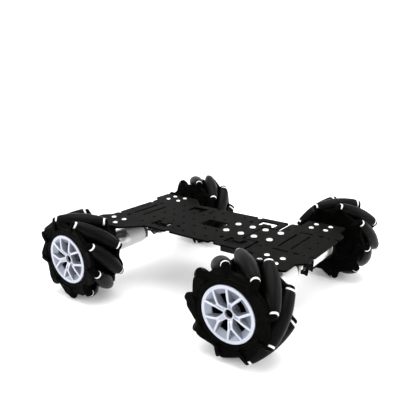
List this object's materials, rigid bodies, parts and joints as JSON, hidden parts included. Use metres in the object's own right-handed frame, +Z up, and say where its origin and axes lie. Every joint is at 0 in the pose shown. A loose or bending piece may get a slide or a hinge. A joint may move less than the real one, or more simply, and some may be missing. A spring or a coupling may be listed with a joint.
{
  "type": "four wheel robot chassis",
  "caption": "Flat mecanum-wheel robot chassis: perforated rear and front deck plates on a lengthwise swing shaft, with a gearmotor and a roller wheel at each corner.",
  "frame": {"origin": "on the ground, under the centre of the wheelbase and of the track", "axes": "+X to the front (the short plate), +Y to the left, +Z up"},
  "size_m": [0.3088, 0.2646, 0.0969],
  "materials": {
    "deck_plate": "matte black anodised sheet",
    "motor_bracket": "satin black folded sheet",
    "aluminium_block": "satin black anodised",
    "motor_metal": "bright plated steel",
    "wheel_hub": "glossy cool-white moulding",
    "wheel_flange": "satin black moulding",
    "roller_rubber": "smooth satin rubber"
  },
  "bodies": {
    "rear_frame": {"rear_deck_plate": "deck_plate", "rear_bearing_block": "aluminium_block", "rear_right_motor_bracket": "motor_bracket", "rear_right_gearmotor": "motor_metal", "rear_left_motor_bracket": "motor_bracket", "rear_left_gearmotor": "motor_metal"},
    "front_frame": {"front_deck_plate": "deck_plate", "swing_shaft_block": "aluminium_block", "front_right_motor_bracket": "motor_bracket", "front_right_gearmotor": "motor_metal", "front_left_motor_bracket": "motor_bracket", "front_left_gearmotor": "motor_metal"},
    "rear_right_wheel": {"rear_right_wheel_hub": "wheel_hub", "rear_right_outer_flange": "wheel_flange", "rear_right_inner_flange": "wheel_flange"},
    "front_right_wheel": {"front_right_wheel_hub": "wheel_hub", "front_right_outer_flange": "wheel_flange", "front_right_inner_flange": "wheel_flange"},
    "rear_left_wheel": {"rear_left_wheel_hub": "wheel_hub", "rear_left_outer_flange": "wheel_flange", "rear_left_inner_flange": "wheel_flange"},
    "front_left_wheel": {"front_left_wheel_hub": "wheel_hub", "front_left_outer_flange": "wheel_flange", "front_left_inner_flange": "wheel_flange"},
    "rear_right_roller_1": {"rear_right_roller_1": "roller_rubber"},
    "rear_right_roller_2": {"rear_right_roller_2": "roller_rubber"},
    "rear_right_roller_3": {"rear_right_roller_3": "roller_rubber"},
    "rear_right_roller_4": {"rear_right_roller_4": "roller_rubber"},
    "rear_right_roller_5": {"rear_right_roller_5": "roller_rubber"},
    "rear_right_roller_6": {"rear_right_roller_6": "roller_rubber"},
    "rear_right_roller_7": {"rear_right_roller_7": "roller_rubber"},
    "rear_right_roller_8": {"rear_right_roller_8": "roller_rubber"},
    "rear_right_roller_9": {"rear_right_roller_9": "roller_rubber"},
    "front_right_roller_1": {"front_right_roller_1": "roller_rubber"},
    "front_right_roller_2": {"front_right_roller_2": "roller_rubber"},
    "front_right_roller_3": {"front_right_roller_3": "roller_rubber"},
    "front_right_roller_4": {"front_right_roller_4": "roller_rubber"},
    "front_right_roller_5": {"front_right_roller_5": "roller_rubber"},
    "front_right_roller_6": {"front_right_roller_6": "roller_rubber"},
    "front_right_roller_7": {"front_right_roller_7": "roller_rubber"},
    "front_right_roller_8": {"front_right_roller_8": "roller_rubber"},
    "front_right_roller_9": {"front_right_roller_9": "roller_rubber"},
    "rear_left_roller_1": {"rear_left_roller_1": "roller_rubber"},
    "rear_left_roller_2": {"rear_left_roller_2": "roller_rubber"},
    "rear_left_roller_3": {"rear_left_roller_3": "roller_rubber"},
    "rear_left_roller_4": {"rear_left_roller_4": "roller_rubber"},
    "rear_left_roller_5": {"rear_left_roller_5": "roller_rubber"},
    "rear_left_roller_6": {"rear_left_roller_6": "roller_rubber"},
    "rear_left_roller_7": {"rear_left_roller_7": "roller_rubber"},
    "rear_left_roller_8": {"rear_left_roller_8": "roller_rubber"},
    "rear_left_roller_9": {"rear_left_roller_9": "roller_rubber"},
    "front_left_roller_1": {"front_left_roller_1": "roller_rubber"},
    "front_left_roller_2": {"front_left_roller_2": "roller_rubber"},
    "front_left_roller_3": {"front_left_roller_3": "roller_rubber"},
    "front_left_roller_4": {"front_left_roller_4": "roller_rubber"},
    "front_left_roller_5": {"front_left_roller_5": "roller_rubber"},
    "front_left_roller_6": {"front_left_roller_6": "roller_rubber"},
    "front_left_roller_7": {"front_left_roller_7": "roller_rubber"},
    "front_left_roller_8": {"front_left_roller_8": "roller_rubber"},
    "front_left_roller_9": {"front_left_roller_9": "roller_rubber"}
  },
  "joints": [
    {"name": "frame_swing", "type": "hinge", "parent": "rear_frame", "child": "front_frame", "pos_m": [0, 0, 0.06134], "axis": [1, 0, 0], "range_deg": [-5, 5]},
    {"name": "rear_right_wheel_spin", "type": "hinge", "parent": "rear_frame", "child": "rear_right_wheel", "pos_m": [-0.1059, -0.1099, 0.04845], "axis": [0, 1, 0], "continuous": true},
    {"name": "front_right_wheel_spin", "type": "hinge", "parent": "front_frame", "child": "front_right_wheel", "pos_m": [0.1059, -0.1099, 0.04845], "axis": [0, 1, 0], "continuous": true},
    {"name": "rear_left_wheel_spin", "type": "hinge", "parent": "rear_frame", "child": "rear_left_wheel", "pos_m": [-0.1059, 0.1099, 0.04845], "axis": [0, 1, 0], "continuous": true},
    {"name": "front_left_wheel_spin", "type": "hinge", "parent": "front_frame", "child": "front_left_wheel", "pos_m": [0.1059, 0.1099, 0.04845], "axis": [0, 1, 0], "continuous": true},
    {"name": "rear_right_roller_1_spin", "type": "hinge", "parent": "rear_right_wheel", "child": "rear_right_roller_1", "pos_m": [-0.10203, -0.1099, 0.08796], "axis": [-0.7396, -0.6691, 0.0725], "continuous": true},
    {"name": "rear_right_roller_2_spin", "type": "hinge", "parent": "rear_right_wheel", "child": "rear_right_roller_2", "pos_m": [-0.07754, -0.1099, 0.07622], "axis": [-0.52, -0.6691, 0.531], "continuous": true},
    {"name": "rear_right_roller_3_spin", "type": "hinge", "parent": "rear_right_wheel", "child": "rear_right_roller_3", "pos_m": [-0.06632, -0.1099, 0.05149], "axis": [-0.057, -0.6691, 0.741], "continuous": true},
    {"name": "rear_right_roller_4_spin", "type": "hinge", "parent": "rear_right_wheel", "child": "rear_right_roller_4", "pos_m": [-0.07362, -0.1099, 0.02533], "axis": [0.4326, -0.6691, 0.6043], "continuous": true},
    {"name": "rear_right_roller_5_spin", "type": "hinge", "parent": "rear_right_wheel", "child": "rear_right_roller_5", "pos_m": [-0.09603, -0.1099, 0.00999], "axis": [0.7198, -0.6691, 0.1848], "continuous": true},
    {"name": "rear_right_roller_6_spin", "type": "hinge", "parent": "rear_right_wheel", "child": "rear_right_roller_6", "pos_m": [-0.12305, -0.1099, 0.01264], "axis": [0.6702, -0.6691, -0.3211], "continuous": true},
    {"name": "rear_right_roller_7_spin", "type": "hinge", "parent": "rear_right_wheel", "child": "rear_right_roller_7", "pos_m": [-0.14205, -0.1099, 0.03204], "axis": [0.307, -0.6691, -0.6768], "continuous": true},
    {"name": "rear_right_roller_8_spin", "type": "hinge", "parent": "rear_right_wheel", "child": "rear_right_roller_8", "pos_m": [-0.14414, -0.1099, 0.05912], "axis": [-0.1998, -0.6691, -0.7158], "continuous": true},
    {"name": "rear_right_roller_9_spin", "type": "hinge", "parent": "rear_right_wheel", "child": "rear_right_roller_9", "pos_m": [-0.12833, -0.1099, 0.0812], "axis": [-0.6132, -0.6691, -0.4199], "continuous": true},
    {"name": "front_right_roller_1_spin", "type": "hinge", "parent": "front_right_wheel", "child": "front_right_roller_1", "pos_m": [0.11177, -0.1099, 0.08771], "axis": [0.735, -0.6691, -0.1098], "continuous": true},
    {"name": "front_right_roller_2_spin", "type": "hinge", "parent": "front_right_wheel", "child": "front_right_roller_2", "pos_m": [0.13563, -0.1099, 0.07475], "axis": [0.4924, -0.6691, -0.5566], "continuous": true},
    {"name": "front_right_roller_3_spin", "type": "hinge", "parent": "front_right_wheel", "child": "front_right_roller_3", "pos_m": [0.14559, -0.1099, 0.04948], "axis": [0.0195, -0.6691, -0.7429], "continuous": true},
    {"name": "front_right_roller_4_spin", "type": "hinge", "parent": "front_right_wheel", "child": "front_right_roller_4", "pos_m": [0.13697, -0.1099, 0.02373], "axis": [-0.4626, -0.6691, -0.5816], "continuous": true},
    {"name": "front_right_roller_5_spin", "type": "hinge", "parent": "front_right_wheel", "child": "front_right_roller_5", "pos_m": [0.11381, -0.1099, 0.00954], "axis": [-0.7282, -0.6691, -0.1482], "continuous": true},
    {"name": "front_right_roller_6_spin", "type": "hinge", "parent": "front_right_wheel", "child": "front_right_roller_6", "pos_m": [0.08696, -0.1099, 0.01356], "axis": [-0.6531, -0.6691, 0.3546], "continuous": true},
    {"name": "front_right_roller_7_spin", "type": "hinge", "parent": "front_right_wheel", "child": "front_right_roller_7", "pos_m": [0.06896, -0.1099, 0.0339], "axis": [-0.2724, -0.6691, 0.6914], "continuous": true},
    {"name": "front_right_roller_8_spin", "type": "hinge", "parent": "front_right_wheel", "child": "front_right_roller_8", "pos_m": [0.06825, -0.1099, 0.06104], "axis": [0.2358, -0.6691, 0.7047], "continuous": true},
    {"name": "front_right_roller_9_spin", "type": "hinge", "parent": "front_right_wheel", "child": "front_right_roller_9", "pos_m": [0.08516, -0.1099, 0.08229], "axis": [0.6336, -0.6691, 0.3883], "continuous": true},
    {"name": "rear_left_roller_1_spin", "type": "hinge", "parent": "rear_left_wheel", "child": "rear_left_roller_1", "pos_m": [-0.113, 0.1099, 0.0875], "axis": [-0.7312, 0.6691, -0.1329], "continuous": true},
    {"name": "rear_left_roller_2_spin", "type": "hinge", "parent": "rear_left_wheel", "child": "rear_left_roller_2", "pos_m": [-0.13645, 0.1099, 0.0738], "axis": [-0.4747, 0.6691, -0.5718], "continuous": true},
    {"name": "rear_left_roller_3_spin", "type": "hinge", "parent": "rear_left_wheel", "child": "rear_left_roller_3", "pos_m": [-0.1456, 0.1099, 0.04824], "axis": [0.0039, 0.6691, -0.7431], "continuous": true},
    {"name": "rear_left_roller_4_spin", "type": "hinge", "parent": "rear_left_wheel", "child": "rear_left_roller_4", "pos_m": [-0.13618, 0.1099, 0.02277], "axis": [0.4807, 0.6691, -0.5668], "continuous": true},
    {"name": "rear_left_roller_5_spin", "type": "hinge", "parent": "rear_left_wheel", "child": "rear_left_roller_5", "pos_m": [-0.11259, 0.1099, 0.00931], "axis": [0.7325, 0.6691, -0.1252], "continuous": true},
    {"name": "rear_left_roller_6_spin", "type": "hinge", "parent": "rear_left_wheel", "child": "rear_left_roller_6", "pos_m": [-0.08587, 0.1099, 0.01417], "axis": [0.6416, 0.6691, 0.3749], "continuous": true},
    {"name": "rear_left_roller_7_spin", "type": "hinge", "parent": "rear_left_wheel", "child": "rear_left_roller_7", "pos_m": [-0.06852, 0.1099, 0.03506], "axis": [0.2505, 0.6691, 0.6996], "continuous": true},
    {"name": "rear_left_roller_8_spin", "type": "hinge", "parent": "rear_left_wheel", "child": "rear_left_roller_8", "pos_m": [-0.06867, 0.1099, 0.06222], "axis": [-0.2578, 0.6691, 0.697], "continuous": true},
    {"name": "rear_left_roller_9_spin", "type": "hinge", "parent": "rear_left_wheel", "child": "rear_left_roller_9", "pos_m": [-0.08623, 0.1099, 0.08293], "axis": [-0.6455, 0.6691, 0.3682], "continuous": true},
    {"name": "front_left_roller_1_spin", "type": "hinge", "parent": "front_left_wheel", "child": "front_left_roller_1", "pos_m": [0.10244, 0.1099, 0.08799], "axis": [0.7403, 0.6691, 0.0648], "continuous": true},
    {"name": "front_left_roller_2_spin", "type": "hinge", "parent": "front_left_wheel", "child": "front_left_roller_2", "pos_m": [0.07783, 0.1099, 0.07652], "axis": [0.5255, 0.6691, 0.5255], "continuous": true},
    {"name": "front_left_roller_3_spin", "type": "hinge", "parent": "front_left_wheel", "child": "front_left_roller_3", "pos_m": [0.06635, 0.1099, 0.0519], "axis": [0.0648, 0.6691, 0.7403], "continuous": true},
    {"name": "front_left_roller_4_spin", "type": "hinge", "parent": "front_left_wheel", "child": "front_left_roller_4", "pos_m": [0.07338, 0.1099, 0.02567], "axis": [-0.4262, 0.6691, 0.6087], "continuous": true},
    {"name": "front_left_roller_5_spin", "type": "hinge", "parent": "front_left_wheel", "child": "front_left_roller_5", "pos_m": [0.09563, 0.1099, 0.0101], "axis": [-0.7178, 0.6691, 0.1923], "continuous": true},
    {"name": "front_left_roller_6_spin", "type": "hinge", "parent": "front_left_wheel", "child": "front_left_roller_6", "pos_m": [0.12268, 0.1099, 0.01247], "axis": [-0.6735, 0.6691, -0.3141], "continuous": true},
    {"name": "front_left_roller_7_spin", "type": "hinge", "parent": "front_left_wheel", "child": "front_left_roller_7", "pos_m": [0.14188, 0.1099, 0.03167], "axis": [-0.3141, 0.6691, -0.6735], "continuous": true},
    {"name": "front_left_roller_8_spin", "type": "hinge", "parent": "front_left_wheel", "child": "front_left_roller_8", "pos_m": [0.14425, 0.1099, 0.05872], "axis": [0.1923, 0.6691, -0.7178], "continuous": true},
    {"name": "front_left_roller_9_spin", "type": "hinge", "parent": "front_left_wheel", "child": "front_left_roller_9", "pos_m": [0.12867, 0.1099, 0.08096], "axis": [0.6087, 0.6691, -0.4262], "continuous": true}
  ]
}
